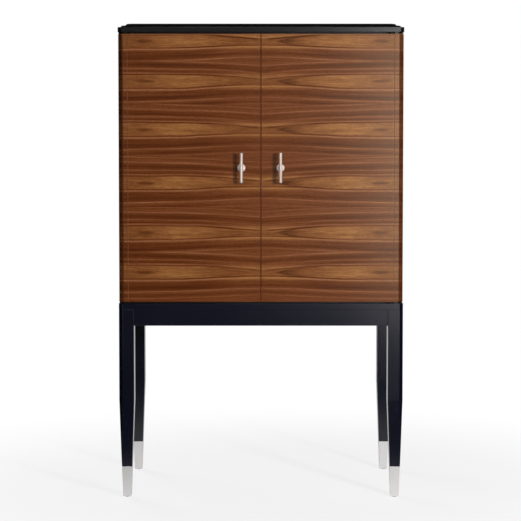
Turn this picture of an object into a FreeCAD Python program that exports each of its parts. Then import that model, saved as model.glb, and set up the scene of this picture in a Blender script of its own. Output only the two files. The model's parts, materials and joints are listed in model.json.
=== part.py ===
import FreeCAD, Part
import math
import os

# A two-door bar cabinet on a tall four-legged stand, in millimetres.
# +X points right for someone facing the doors, +Y to the back and +Z up.
# The origin is on the floor, under the middle of the whole outline, pulls included.

# Whole cabinet
STAND_WIDTH = 914.0
STAND_DEPTH = 508.0
OVERALL_HEIGHT = 1524.0
CORNER_CANT = 12.0            # flat across both front corners, from the legs to the top
EDGE_EASE = 0.8               # small radius on edges that hands meet
CONTACT_GAP = 0.3             # room between faces that close on each other

# Stand
STAND_HEIGHT = 609.0          # floor to the underside of the bottom board
LEG_WIDTH = 49.0
FOOT_WIDTH = 26.0             # leg width where its taper would meet the floor
TAPER_START = 316.0           # height at which a leg begins to narrow
SABOT_HEIGHT = 100.0          # floor to the top edge of the metal shoe
SABOT_WALL = 2.5
SABOT_BASE = 8.0
GLUE_GAP = 0.1
GLIDE_HEIGHT = 2.0
GLIDE_DIAMETER = 16.0
APRON_HEIGHT = 52.0
APRON_THICKNESS = 22.0
APRON_RECESS = 3.0            # apron face behind the leg face
TENON_LENGTH = 18.0
TENON_THICKNESS = 8.0
TENON_SHOULDER = 8.0          # apron height left above and below its tenon
BLOCK_HEIGHT = 34.0
BLOCK_THICKNESS = 28.0

# Case
CASE_REVEAL = 1.5             # case faces behind the stand and top faces
BOTTOM_BOARD = 20.0
SIDE_THICKNESS = 29.0
LINER_THICKNESS = 18.0        # case floor and case ceiling
BACK_THICKNESS = 8.0
RABBET_DEPTH = 10.0
RABBET_WIDTH = 12.0
SPLINE_THICKNESS = 10.0       # loose tenons that join the side panels to the boards
SPLINE_WIDTH = 60.0
SPLINE_IN_SIDE = 28.0
SPLINE_IN_BOARD = 12.0
SPLINE_INSET = 60.0           # from the case front and back
SHADOW_DEPTH = 5.0            # set back of the side panels' ends, which carry the door gaps round the case

# Stepped top: three tiers, each set back on the front and both sides
TIER_HEIGHTS = (15.5, 5.5, 7.0)
LOW_TIER_SETBACK = 10.0
LOW_TIER_SLOPE = 0.8
HIGH_TIER_SETBACK = 21.5
HIGH_TIER_SLOPE = 5.5

# Doors, on knife hinges let into their top and bottom edges
DOOR_THICKNESS = 22.0
DOOR_GAP_BELOW = 5.0
DOOR_GAP_ABOVE = 6.5
DOOR_GAP_HINGE = 0.8
DOOR_GAP_MIDDLE = 1.6
PIVOT_INSET = 14.0            # pivot from the hinge edge of the door
PIVOT_DEPTH = 5.0             # pivot behind the door face
PIVOT_DIAMETER = 4.0
PIVOT_CLEARANCE = 0.05
KNIFE_WIDTH = 7.0
KNIFE_LENGTH = 46.0
KNIFE_THICKNESS = 2.5

# Pulls: an upright bar on a post and a round rose
PULL_LENGTH = 96.0
PULL_DIAMETER = 10.3
PULL_STANDOFF = 30.0          # bar axis in front of the door face
PULL_FROM_MIDDLE = 62.4
PULL_ABOVE_DOOR_BOTTOM = 429.5
PULL_END_BEVEL = 1.2
POST_DIAMETER = 7.0
ROSE_DIAMETER = 26.0
ROSE_THICKNESS = 3.5
ROSE_EASE = 1.2

# Inside: half-depth bar shelf with a leaf that folds forward off it
INTERIOR_SETBACK = 6.0        # fittings behind the closed doors
BOTTLE_SPACE = 333.0          # clear height under the bar shelf
BAR_THICKNESS = 20.0
HOUSING_DEPTH = 6.0           # shelf ends let into the side panels
LEAF_THICKNESS = 18.0
LEAF_SIDE_GAP = 2.0
LEAF_BACK_GAP = 2.0
LEAF_EDGE_GAP = 1.0           # leaf and shelf edges each side of the hinge axis
NOTCH_RADIUS = 22.0
CLEAT_WIDTH = 20.0
CLEAT_HEIGHT = 22.0
CLEAT_END_GAP = 15.0
DIVIDER_THICKNESS = 15.0
DIVIDER_SPACING = 284.0       # between the middles of the two dividers

# Leaf hinges
BARREL_DIAMETER = 7.0
BARREL_RELIEF = 0.4
HINGE_LENGTH = 60.0
HINGE_INSET = 90.0            # outer hinges from the ends of the leaf
HINGE_PLATE_WIDTH = 24.0
HINGE_PLATE_THICKNESS = 1.6
HINGE_PIN_DIAMETER = 3.0
KNUCKLE_LENGTH = 15.0
KNUCKLE_GAP = 0.3

# Glass shelf, mirror and catch
GLASS_THICKNESS = 8.0
GLASS_DEPTH = 300.0
GLASS_END_GAP = 1.5
GLASS_BACK_GAP = 2.0
GLASS_EASE = 1.0
PIN_DIAMETER = 5.0
PIN_DEPTH = 10.0
PIN_REACH = 9.0
PIN_INSET = 40.0              # shelf pins from the front and back of the glass
PIN_PITCH = 32.0
PIN_HOLES = 3
MIRROR_THICKNESS = 4.0
MIRROR_MARGIN = 3.0
CATCH_WIDTH = 56.0
CATCH_DEPTH = 18.0
CATCH_HEIGHT = 12.0
STRIKE_WIDTH = 22.0
STRIKE_THICKNESS = 1.5
STRIKE_FROM_MIDDLE = 4.0

# Places worked out from the sizes above
PULL_REACH = PULL_STANDOFF + PULL_DIAMETER / 2
PULL_OVERHANG = PULL_REACH - CASE_REVEAL
FRONT = (PULL_OVERHANG - STAND_DEPTH) / 2
BACK = FRONT + STAND_DEPTH
HALF_STAND = STAND_WIDTH / 2
HALF_CASE = HALF_STAND - CASE_REVEAL
HALF_INNER = HALF_CASE - SIDE_THICKNESS
CASE_BOTTOM = STAND_HEIGHT + BOTTOM_BOARD
CASE_TOP = OVERALL_HEIGHT - sum(TIER_HEIGHTS)
CASE_FRONT = FRONT + CASE_REVEAL
DOOR_BACK = CASE_FRONT + DOOR_THICKNESS
DOOR_BOTTOM = CASE_BOTTOM + DOOR_GAP_BELOW
DOOR_TOP = CASE_TOP - DOOR_GAP_ABOVE
PULL_HEIGHT = DOOR_BOTTOM + PULL_ABOVE_DOOR_BOTTOM
DOOR_HINGE_EDGE = HALF_INNER - DOOR_GAP_HINGE
DOOR_FREE_EDGE = DOOR_GAP_MIDDLE / 2
PIVOT_X = DOOR_HINGE_EDGE - PIVOT_INSET
PIVOT_Y = CASE_FRONT + PIVOT_DEPTH
INTERIOR_FRONT = DOOR_BACK + INTERIOR_SETBACK
FLOOR_TOP = CASE_BOTTOM + LINER_THICKNESS
CEILING_UNDER = CASE_TOP - LINER_THICKNESS
BAR_TOP = FLOOR_TOP + BOTTLE_SPACE + BAR_THICKNESS
BACK_FACE = BACK - RABBET_DEPTH
BACK_OUTSIDE = BACK_FACE + BACK_THICKNESS
MIRROR_FACE = BACK_FACE - MIRROR_THICKNESS
LEAF_REACH = (MIRROR_FACE - LEAF_BACK_GAP - INTERIOR_FRONT) / 2
LEAF_AXIS_Y = INTERIOR_FRONT + LEAF_REACH
LEAF_AXIS_Z = BAR_TOP + CONTACT_GAP / 2
LEAF_BOTTOM = BAR_TOP + CONTACT_GAP
LEAF_TOP = LEAF_BOTTOM + LEAF_THICKNESS
LEAF_HALF_WIDTH = HALF_INNER - LEAF_SIDE_GAP
SHELF_FRONT = LEAF_AXIS_Y + LEAF_EDGE_GAP
CLEAT_TOP = BAR_TOP - LEAF_THICKNESS - CONTACT_GAP
HINGE_PLACES = (HINGE_INSET - LEAF_HALF_WIDTH, 0.0, LEAF_HALF_WIDTH - HINGE_INSET)
GLASS_BOTTOM = (LEAF_TOP + CEILING_UNDER) / 2
GLASS_BACK = MIRROR_FACE - GLASS_BACK_GAP
CATCH_FRONT = DOOR_BACK + STRIKE_THICKNESS + CONTACT_GAP
CATCH_BOTTOM = CEILING_UNDER - CATCH_HEIGHT

SIDES = {"left": -1, "right": 1}
ENDS = {"front": FRONT + LEG_WIDTH / 2, "back": BACK - LEG_WIDTH / 2}
SAME_PLACE = 1e-6
V = FreeCAD.Vector


def box(x0, x1, y0, y1, z0, z1):
    x_low, x_high = sorted((x0, x1))
    return Part.makeBox(x_high - x_low, y1 - y0, z1 - z0, V(x_low, y0, z0))


def flat_face(points):
    return Part.Face(Part.makePolygon(points + points[:1]))


def prism(corners, z0, z1):
    return flat_face([V(x, y, z0) for x, y in corners]).extrude(V(0, 0, z1 - z0))


# A solid with flat sides between two outlines of like shape, both running anticlockwise from above
def tapered(corners_low, z0, corners_high, z1):
    low = [V(x, y, z0) for x, y in corners_low]
    high = [V(x, y, z1) for x, y in corners_high]
    walls = [[low[i - 1], low[i], high[i], high[i - 1]] for i in range(len(low))]
    faces = [flat_face(points) for points in [low[::-1], high] + walls]
    return Part.Solid(Part.Shell(faces))


def rod(diameter, length, start, direction):
    return Part.makeCylinder(diameter / 2, length, start, direction)


def merged(shapes):
    return shapes[0].fuse(shapes[1:]).removeSplitter()


def rounded(shape, radius, chosen):
    return shape.makeFillet(radius, [edge for edge in shape.Edges if chosen(edge)])


def bevelled(shape, size, chosen):
    return shape.makeChamfer(size, [edge for edge in shape.Edges if chosen(edge)])


def level(edge, z):
    low_high = (edge.BoundBox.ZMin, edge.BoundBox.ZMax)
    return all(abs(value - z) < SAME_PLACE for value in low_high)


def on_plane_y(edge, y):
    low_high = (edge.BoundBox.YMin, edge.BoundBox.YMax)
    return all(abs(value - y) < SAME_PLACE for value in low_high)


# Stand: legs that taper on all four sides, metal shoes, aprons and corner blocks

def leg_width_at(z):
    return FOOT_WIDTH + (LEG_WIDTH - FOOT_WIDTH) * z / TAPER_START


def square(side, end, width):
    x = side * (HALF_STAND - LEG_WIDTH / 2)
    y = ENDS[end]
    half = width / 2
    return [(x - half, y - half), (x + half, y - half), (x + half, y + half), (x - half, y + half)]


def tapered_post(side, end, z0, z1, wall):
    low = square(side, end, leg_width_at(z0) - 2 * wall)
    high = square(side, end, leg_width_at(z1) - 2 * wall)
    return tapered(low, z0, high, z1)


def cant_wedge(side, half_width, front, z0, z1):
    tip = (side * half_width, front)
    along = (side * (half_width - CORNER_CANT), front)
    back = (side * half_width, front + CORNER_CANT)
    return prism([tip, along, back], z0, z1)


def leg(side, end, aprons):
    socket_floor = GLIDE_HEIGHT + SABOT_BASE
    shape = merged([
        prism(square(side, end, LEG_WIDTH), TAPER_START, STAND_HEIGHT),
        tapered_post(side, end, SABOT_HEIGHT, TAPER_START, 0),
        tapered_post(side, end, socket_floor, SABOT_HEIGHT, SABOT_WALL + GLUE_GAP),
    ])
    if end == "front":
        shape = shape.cut(cant_wedge(side, HALF_STAND, FRONT, SABOT_HEIGHT, STAND_HEIGHT))
    return shape.cut(aprons)


def sabot(side, end):
    socket_floor = GLIDE_HEIGHT + SABOT_BASE
    shell = tapered_post(side, end, GLIDE_HEIGHT, SABOT_HEIGHT, 0)
    shell = bevelled(shell, EDGE_EASE, lambda edge: level(edge, GLIDE_HEIGHT))
    return shell.cut(tapered_post(side, end, socket_floor, SABOT_HEIGHT, SABOT_WALL))


def leg_glide(side, end):
    foot = V(side * (HALF_STAND - LEG_WIDTH / 2), ENDS[end], 0)
    return rod(GLIDE_DIAMETER, GLIDE_HEIGHT, foot, V(0, 0, 1))


def cross_apron(end):
    inset = -APRON_RECESS if end == "back" else APRON_RECESS
    outer = (BACK if end == "back" else FRONT) + inset
    inner = outer + math.copysign(APRON_THICKNESS, inset)
    middle = (outer + inner) / 2
    half = HALF_STAND - LEG_WIDTH
    z0 = STAND_HEIGHT - APRON_HEIGHT
    board = box(-half, half, min(outer, inner), max(outer, inner), z0, STAND_HEIGHT)
    tenon_half = half + TENON_LENGTH
    tenon = box(-tenon_half, tenon_half, middle - TENON_THICKNESS / 2, middle + TENON_THICKNESS / 2,
                z0 + TENON_SHOULDER, STAND_HEIGHT - TENON_SHOULDER)
    return merged([board, tenon])


def side_apron(side):
    outer = side * (HALF_STAND - APRON_RECESS)
    inner = outer - side * APRON_THICKNESS
    middle = (outer + inner) / 2
    y0 = FRONT + LEG_WIDTH
    y1 = BACK - LEG_WIDTH
    z0 = STAND_HEIGHT - APRON_HEIGHT
    board = box(outer, inner, y0, y1, z0, STAND_HEIGHT)
    tenon = box(middle - TENON_THICKNESS / 2, middle + TENON_THICKNESS / 2,
                y0 - TENON_LENGTH, y1 + TENON_LENGTH, z0 + TENON_SHOULDER, STAND_HEIGHT - TENON_SHOULDER)
    return merged([board, tenon])


def block_corner(side, end, across, along):
    x = side * (HALF_STAND - across)
    y = FRONT + along if end == "front" else BACK - along
    return x, y


def corner_block(side, end):
    apron_inside = APRON_RECESS + APRON_THICKNESS
    near = 2 * LEG_WIDTH - apron_inside
    far = near + BLOCK_THICKNESS * math.sqrt(2)
    corners = [
        block_corner(side, end, near, apron_inside),
        block_corner(side, end, far, apron_inside),
        block_corner(side, end, apron_inside, far),
        block_corner(side, end, apron_inside, near),
    ]
    return prism(corners, STAND_HEIGHT - BLOCK_HEIGHT, STAND_HEIGHT)


# Case: canted boards, side panels, liners and the back

def canted_plan(setback, front, half_width, cant):
    x = half_width - setback
    y = front + setback
    return [(-x + cant, y), (x - cant, y), (x, y + cant), (x, BACK), (-x, BACK), (-x, y + cant)]


def bottom_board(holes):
    plan = canted_plan(0, FRONT, HALF_STAND, CORNER_CANT)
    board = prism(plan, STAND_HEIGHT, CASE_BOTTOM)
    board = rounded(board, EDGE_EASE, lambda edge: level(edge, CASE_BOTTOM) and not on_plane_y(edge, BACK))
    return board.cut(holes)


def stepped_top(holes):
    low_top = CASE_TOP + TIER_HEIGHTS[0]
    mid_top = low_top + TIER_HEIGHTS[1]
    plans = [canted_plan(setback, FRONT, HALF_STAND, CORNER_CANT) for setback in (
        0, LOW_TIER_SETBACK, LOW_TIER_SETBACK + LOW_TIER_SLOPE,
        HIGH_TIER_SETBACK, HIGH_TIER_SETBACK + HIGH_TIER_SLOPE)]
    shape = merged([
        prism(plans[0], CASE_TOP, low_top),
        tapered(plans[1], low_top, plans[2], mid_top),
        tapered(plans[3], mid_top, plans[4], OVERALL_HEIGHT),
    ])
    shape = rounded(shape, EDGE_EASE, lambda edge: level(edge, low_top) and edge_is_outermost(edge))
    return shape.cut(holes)


def edge_is_outermost(edge):
    middle = edge.CenterOfMass
    at_side = abs(middle.x) > HALF_STAND - LOW_TIER_SETBACK / 2
    at_front = middle.y < FRONT + LOW_TIER_SETBACK / 2
    at_cant = HALF_STAND - abs(middle.x) + middle.y - FRONT < CORNER_CANT + SAME_PLACE
    return (at_side or at_front or at_cant) and not on_plane_y(edge, BACK)


def side_plan(side, setback):
    outer = side * (HALF_CASE - setback)
    inner = side * HALF_INNER
    front = CASE_FRONT + setback
    return [
        (inner, front),
        (outer - side * CORNER_CANT, front),
        (outer, front + CORNER_CANT),
        (outer, BACK),
        (inner + side * RABBET_WIDTH, BACK),
        (inner + side * RABBET_WIDTH, BACK_FACE),
        (inner, BACK_FACE),
    ]


def side_panel(side, cuts):
    panel = merged([
        prism(side_plan(side, 0), DOOR_BOTTOM, DOOR_TOP),
        prism(side_plan(side, SHADOW_DEPTH), CASE_BOTTOM, CASE_TOP),
    ])
    return panel.cut(cuts)


def liner(z0):
    return box(-HALF_INNER, HALF_INNER, INTERIOR_FRONT, BACK_FACE, z0, z0 + LINER_THICKNESS)


def back_panel():
    half = HALF_INNER + RABBET_WIDTH
    return box(-half, half, BACK_FACE, BACK_OUTSIDE, CASE_BOTTOM, CASE_TOP)


def case_splines():
    middle = HALF_CASE - SIDE_THICKNESS / 2
    half = SPLINE_THICKNESS / 2
    splines = []
    for side in SIDES.values():
        x0 = side * (middle - half)
        x1 = side * (middle + half)
        for y0 in (CASE_FRONT + SPLINE_INSET, BACK - SPLINE_INSET - SPLINE_WIDTH):
            for z0 in (CASE_BOTTOM - SPLINE_IN_BOARD, CASE_TOP - SPLINE_IN_SIDE):
                z1 = z0 + SPLINE_IN_BOARD + SPLINE_IN_SIDE
                splines.append(box(x0, x1, y0, y0 + SPLINE_WIDTH, z0, z1))
    return splines


# Doors and their knife hinges

def pivot_rod(side, diameter, z0, z1):
    return rod(diameter, z1 - z0, V(side * PIVOT_X, PIVOT_Y, z0), V(0, 0, 1))


def knife_blade(side, z0, z1):
    half = KNIFE_WIDTH / 2
    return box(side * PIVOT_X, side * (PIVOT_X - KNIFE_LENGTH), PIVOT_Y - half, PIVOT_Y + half, z0, z1)


# The blade lies flush in its board, and only the round eye stands up through the door gap
def fixed_knife_blanks(side):
    floor = CASE_BOTTOM - KNIFE_THICKNESS
    roof = CASE_TOP + KNIFE_THICKNESS
    low_eye = pivot_rod(side, KNIFE_WIDTH, floor, DOOR_BOTTOM - CONTACT_GAP)
    high_eye = pivot_rod(side, KNIFE_WIDTH, DOOR_TOP + CONTACT_GAP, roof)
    return [merged([knife_blade(side, floor, CASE_BOTTOM), low_eye]),
            merged([knife_blade(side, CASE_TOP, roof), high_eye])]


def moving_knife_blanks(side):
    spans = ((DOOR_BOTTOM, DOOR_BOTTOM + KNIFE_THICKNESS), (DOOR_TOP - KNIFE_THICKNESS, DOOR_TOP))
    return [merged([knife_blade(side, z0, z1), pivot_rod(side, KNIFE_WIDTH, z0, z1)]) for z0, z1 in spans]


def door_pivots(side):
    spans = ((CASE_BOTTOM - KNIFE_THICKNESS, DOOR_BOTTOM + KNIFE_THICKNESS),
             (DOOR_TOP - KNIFE_THICKNESS, CASE_TOP + KNIFE_THICKNESS))
    return [pivot_rod(side, PIVOT_DIAMETER, z0, z1) for z0, z1 in spans]


def pivot_bore(side):
    return pivot_rod(side, PIVOT_DIAMETER + 2 * PIVOT_CLEARANCE, 0, OVERALL_HEIGHT)


def door_panel(side):
    shape = box(side * DOOR_FREE_EDGE, side * DOOR_HINGE_EDGE, CASE_FRONT, DOOR_BACK, DOOR_BOTTOM, DOOR_TOP)
    shape = rounded(shape, EDGE_EASE, lambda edge: on_plane_y(edge, CASE_FRONT))
    return shape.cut(moving_knife_blanks(side))


def pull_bar(side, post):
    bottom = V(side * PULL_FROM_MIDDLE, CASE_FRONT - PULL_STANDOFF, PULL_HEIGHT - PULL_LENGTH / 2)
    bar = rod(PULL_DIAMETER, PULL_LENGTH, bottom, V(0, 0, 1))
    ends = (PULL_HEIGHT - PULL_LENGTH / 2, PULL_HEIGHT + PULL_LENGTH / 2)
    bar = bevelled(bar, PULL_END_BEVEL, lambda edge: any(level(edge, z) for z in ends))
    return bar.cut(post)


def pull_post(side):
    foot = V(side * PULL_FROM_MIDDLE, CASE_FRONT, PULL_HEIGHT)
    rose = rod(ROSE_DIAMETER, ROSE_THICKNESS, foot, V(0, -1, 0))
    rose = bevelled(rose, ROSE_EASE, lambda edge: on_plane_y(edge, CASE_FRONT - ROSE_THICKNESS))
    post = rod(POST_DIAMETER, PULL_STANDOFF, foot, V(0, -1, 0))
    return merged([rose, post])


def strike_plate(side):
    x0 = side * STRIKE_FROM_MIDDLE
    return box(x0, x0 + side * STRIKE_WIDTH, DOOR_BACK, DOOR_BACK + STRIKE_THICKNESS,
               CATCH_BOTTOM, CEILING_UNDER)


# Inside fittings

def bar_shelf(reliefs):
    half = HALF_INNER + HOUSING_DEPTH
    return box(-half, half, SHELF_FRONT, BACK_FACE, BAR_TOP - BAR_THICKNESS, BAR_TOP).cut(reliefs)


def fold_out_leaf(reliefs):
    free_edge = LEAF_AXIS_Y + LEAF_REACH
    leaf = box(-LEAF_HALF_WIDTH, LEAF_HALF_WIDTH, SHELF_FRONT, free_edge, LEAF_BOTTOM, LEAF_TOP)
    leaf = rounded(leaf, EDGE_EASE, lambda edge: on_plane_y(edge, free_edge))
    notch = Part.makeCylinder(NOTCH_RADIUS, LEAF_THICKNESS, V(0, free_edge, LEAF_BOTTOM), V(0, 0, 1))
    return leaf.cut(reliefs + [notch])


def hinge_rod(x0, x1, diameter):
    return rod(diameter, x1 - x0, V(x0, LEAF_AXIS_Y, LEAF_AXIS_Z), V(1, 0, 0))


def hinge_relief(x):
    half = HINGE_LENGTH / 2 + KNUCKLE_GAP
    return hinge_rod(x - half, x + half, BARREL_DIAMETER + 2 * BARREL_RELIEF)


def hinge_plate(x, y0, z0):
    half = HINGE_LENGTH / 2
    y1 = SHELF_FRONT + HINGE_PLATE_WIDTH
    return box(x - half, x + half, y0, y1, z0, z0 + HINGE_PLATE_THICKNESS)


def knuckle_spans(x):
    half = HINGE_LENGTH / 2
    inner = half - KNUCKLE_LENGTH
    outer_pair = [(x - half, x - inner), (x + inner, x + half)]
    return outer_pair, [(x - inner + KNUCKLE_GAP, x + inner - KNUCKLE_GAP)]


def hinge_wing(x, z0, own_spans, other_spans):
    plate = hinge_plate(x, LEAF_AXIS_Y, z0)
    clear_y = LEAF_AXIS_Y + BARREL_DIAMETER / 2 + BARREL_RELIEF
    for x0, x1 in other_spans:
        notch = box(x0 - KNUCKLE_GAP, x1 + KNUCKLE_GAP, LEAF_AXIS_Y, clear_y, z0, z0 + HINGE_PLATE_THICKNESS)
        plate = plate.cut(notch)
    knuckles = [hinge_rod(a, b, BARREL_DIAMETER) for a, b in own_spans]
    bore = hinge_rod(x - HINGE_LENGTH / 2, x + HINGE_LENGTH / 2, HINGE_PIN_DIAMETER + 2 * PIVOT_CLEARANCE)
    return merged([plate] + knuckles).cut(bore)


def fixed_wing(x):
    fixed, moving = knuckle_spans(x)
    return hinge_wing(x, BAR_TOP - HINGE_PLATE_THICKNESS, fixed, moving)


def moving_wing(x):
    fixed, moving = knuckle_spans(x)
    return hinge_wing(x, LEAF_BOTTOM, moving, fixed)


def hinge_pin(x):
    return hinge_rod(x - HINGE_LENGTH / 2, x + HINGE_LENGTH / 2, HINGE_PIN_DIAMETER)


def leaf_cleat(side):
    inner = side * HALF_INNER
    y0 = INTERIOR_FRONT + CLEAT_END_GAP
    y1 = LEAF_AXIS_Y - CLEAT_END_GAP
    return box(inner - side * CLEAT_WIDTH, inner, y0, y1, CLEAT_TOP - CLEAT_HEIGHT, CLEAT_TOP)


def bottle_divider(side):
    x = side * DIVIDER_SPACING / 2
    half = DIVIDER_THICKNESS / 2
    return box(x - half, x + half, SHELF_FRONT, BACK_FACE, FLOOR_TOP, BAR_TOP - BAR_THICKNESS)


def mirror_panel():
    half = HALF_INNER - MIRROR_MARGIN
    return box(-half, half, MIRROR_FACE, BACK_FACE, BAR_TOP, CEILING_UNDER - MIRROR_MARGIN)


def glass_shelf():
    half = HALF_INNER - GLASS_END_GAP
    front = GLASS_BACK - GLASS_DEPTH
    pane = box(-half, half, front, GLASS_BACK, GLASS_BOTTOM, GLASS_BOTTOM + GLASS_THICKNESS)
    return rounded(pane, GLASS_EASE, lambda edge: on_plane_y(edge, front))


def pin_rows():
    return (GLASS_BACK - GLASS_DEPTH + PIN_INSET, GLASS_BACK - PIN_INSET)


def shelf_pin(side, y):
    start = V(side * (HALF_INNER + PIN_DEPTH), y, GLASS_BOTTOM - PIN_DIAMETER / 2)
    return rod(PIN_DIAMETER, PIN_DEPTH + PIN_REACH, start, V(-side, 0, 0))


def shelf_pins():
    return [shelf_pin(side, y) for side in SIDES.values() for y in pin_rows()]


def pin_holes(side):
    middle = (PIN_HOLES - 1) / 2
    heights = [GLASS_BOTTOM - PIN_DIAMETER / 2 + PIN_PITCH * (step - middle) for step in range(PIN_HOLES)]
    return [rod(PIN_DIAMETER, PIN_DEPTH, V(side * HALF_INNER, y, z), V(side, 0, 0))
            for y in pin_rows() for z in heights]


def magnetic_catch():
    half = CATCH_WIDTH / 2
    return box(-half, half, CATCH_FRONT, CATCH_FRONT + CATCH_DEPTH, CATCH_BOTTOM, CEILING_UNDER)


def stand_nodes():
    nodes = {f"{end}_apron": cross_apron(end) for end in ENDS}
    nodes.update({f"{name}_apron": side_apron(side) for name, side in SIDES.items()})
    aprons = list(nodes.values())
    glides = []
    blocks = []
    for end in ENDS:
        for name, side in SIDES.items():
            nodes[f"{end}_{name}_leg"] = leg(side, end, aprons)
            nodes[f"{end}_{name}_sabot"] = sabot(side, end)
            glides.append(leg_glide(side, end))
            blocks.append(corner_block(side, end))
    nodes["leg_glides"] = Part.makeCompound(glides)
    nodes["corner_blocks"] = Part.makeCompound(blocks)
    return nodes


def case_nodes():
    splines = case_splines()
    shelf_blank = bar_shelf([])
    pockets = [blank for side in SIDES.values() for blank in fixed_knife_blanks(side)]
    nodes = {
        "bottom_board": bottom_board(splines + pockets),
        "stepped_top": stepped_top(splines + pockets),
        "case_floor": liner(CASE_BOTTOM),
        "case_ceiling": liner(CEILING_UNDER),
        "back_panel": back_panel(),
        "case_splines": Part.makeCompound(splines),
    }
    for name, side in SIDES.items():
        nodes[f"{name}_side_panel"] = side_panel(side, splines + [shelf_blank] + pin_holes(side))
    return nodes


def door_nodes():
    nodes = {}
    fixed_plates = []
    pivots = []
    for name, side in SIDES.items():
        post = pull_post(side)
        bore = pivot_bore(side)
        pivots_here = door_pivots(side)
        nodes[f"{name}_door_panel"] = door_panel(side)
        moving_plates = [plate.cut(bore) for plate in moving_knife_blanks(side)]
        nodes[f"{name}_door_hinge_plates"] = Part.makeCompound(moving_plates)
        nodes[f"{name}_pull_bar"] = pull_bar(side, post)
        nodes[f"{name}_pull_post"] = post
        nodes[f"{name}_strike_plate"] = strike_plate(side)
        fixed_plates += [plate.cut(pivots_here) for plate in fixed_knife_blanks(side)]
        pivots += pivots_here
    nodes["door_hinge_fixed_plates"] = Part.makeCompound(fixed_plates)
    nodes["door_hinge_pivots"] = Part.makeCompound(pivots)
    return nodes


def inside_nodes():
    reliefs = [hinge_relief(x) for x in HINGE_PLACES]
    shelf_recesses = [hinge_plate(x, SHELF_FRONT, BAR_TOP - HINGE_PLATE_THICKNESS) for x in HINGE_PLACES]
    leaf_recesses = [hinge_plate(x, SHELF_FRONT, LEAF_BOTTOM) for x in HINGE_PLACES]
    nodes = {
        "bar_shelf": bar_shelf(reliefs + shelf_recesses),
        "fold_out_leaf": fold_out_leaf(reliefs + leaf_recesses),
        "leaf_hinge_fixed_plates": Part.makeCompound([fixed_wing(x) for x in HINGE_PLACES]),
        "leaf_hinge_moving_plates": Part.makeCompound([moving_wing(x) for x in HINGE_PLACES]),
        "leaf_hinge_pins": Part.makeCompound([hinge_pin(x) for x in HINGE_PLACES]),
        "mirror_panel": mirror_panel(),
        "glass_shelf": glass_shelf(),
        "shelf_pins": Part.makeCompound(shelf_pins()),
        "magnetic_catch": magnetic_catch(),
    }
    for name, side in SIDES.items():
        nodes[f"{name}_leaf_cleat"] = leaf_cleat(side)
        nodes[f"{name}_bottle_divider"] = bottle_divider(side)
    return nodes


def build():
    nodes = stand_nodes()
    nodes.update(case_nodes())
    nodes.update(door_nodes())
    nodes.update(inside_nodes())
    return nodes


os.makedirs("parts", exist_ok=True)
for node, shape in build().items():
    shape.exportStep(f"parts/{node}.step")
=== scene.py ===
import json
import math

import bmesh
import bpy
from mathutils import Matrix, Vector


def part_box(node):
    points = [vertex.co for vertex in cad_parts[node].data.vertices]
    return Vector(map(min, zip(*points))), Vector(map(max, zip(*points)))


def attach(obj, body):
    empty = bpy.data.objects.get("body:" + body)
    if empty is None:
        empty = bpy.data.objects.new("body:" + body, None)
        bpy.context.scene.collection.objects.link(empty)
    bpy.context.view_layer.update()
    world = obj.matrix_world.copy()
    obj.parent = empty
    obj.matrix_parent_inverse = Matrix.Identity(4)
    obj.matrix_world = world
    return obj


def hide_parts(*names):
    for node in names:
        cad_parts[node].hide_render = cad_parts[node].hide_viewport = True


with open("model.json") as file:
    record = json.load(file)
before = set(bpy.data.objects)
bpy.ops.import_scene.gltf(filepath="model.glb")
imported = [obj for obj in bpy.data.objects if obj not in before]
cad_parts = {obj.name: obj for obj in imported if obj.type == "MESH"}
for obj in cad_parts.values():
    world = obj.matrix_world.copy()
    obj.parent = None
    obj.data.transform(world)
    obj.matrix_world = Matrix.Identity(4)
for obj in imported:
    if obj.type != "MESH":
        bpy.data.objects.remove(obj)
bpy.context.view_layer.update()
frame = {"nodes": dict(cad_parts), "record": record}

# A tall bar cabinet in book-matched walnut and black lacquer, dressed on its CAD frame.
# Metres throughout: +X right for someone facing the doors, +Y to the back, +Z up.

nodes = frame["nodes"]

# Places read from the frame
top_low, top_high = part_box("stepped_top")
door_low, door_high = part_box("right_door_panel")
side_low, side_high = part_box("right_side_panel")
FRONT = top_low.y
BACK = top_high.y
HALF_WIDTH = top_high.x
DOOR_FACE = door_low.y
DOOR_BACK = door_high.y
DOOR_SIDE = door_high.x
DOOR_BOTTOM = door_low.z
DOOR_TOP = door_high.z
BOARD_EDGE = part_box("case_ceiling")[0].y

# Case
CORNER_CANT = 0.012           # cut off the front corners of the side panels
CANT_START = side_high.x - CORNER_CANT
CANT_END = side_low.y + CORNER_CANT
TIER_EDGES = 0.0115           # from the top face down over the edges of the upper tiers
UPPER_TIERS = top_high.z - TIER_EDGES
SIDES = {"left": -1, "right": 1}

# Pulls: rounding is a share of the bar's radius
PULL_ROUNDING = 0.42
ROSE_HEIGHT = 0.0035
ROSE_SHOULDER = 0.0014        # rounding at the rim of the rose
ROSE_SLOPE = 25.0             # of the dome where it meets the rounding, in degrees
ROSE_FLAT = 0.0062            # radius at which the dome meets the collar's seat
SHOULDER_RINGS = 7
DOME_RINGS = 8
COLLAR_RADIUS = 0.0055
COLLAR_HEIGHT = 0.0018
COLLAR_ROUNDING = 0.0004
POST_RADIUS = 0.0035
TURNED_SIDES = 64

# Screw heads: radius, height and depth of the cross
BACK_SCREW = (0.0040, 0.0017, 0.0009)
HINGE_SCREW = (0.0032, 0.0009, 0.0006)
CLEAT_SCREW = (0.0040, 0.0016, 0.0009)
PULL_SCREW = (0.0048, 0.0022, 0.0012)
STRIKE_SCREW = (0.0024, 0.0007, 0.0004)
HEAD_SIDES = 32
HEAD_ROUNDING = 0.45          # of the head's radius or height, whichever is less
SLIT_LENGTH = 1.1             # of the head's radius
SLIT_WIDTH = 0.26

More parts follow.
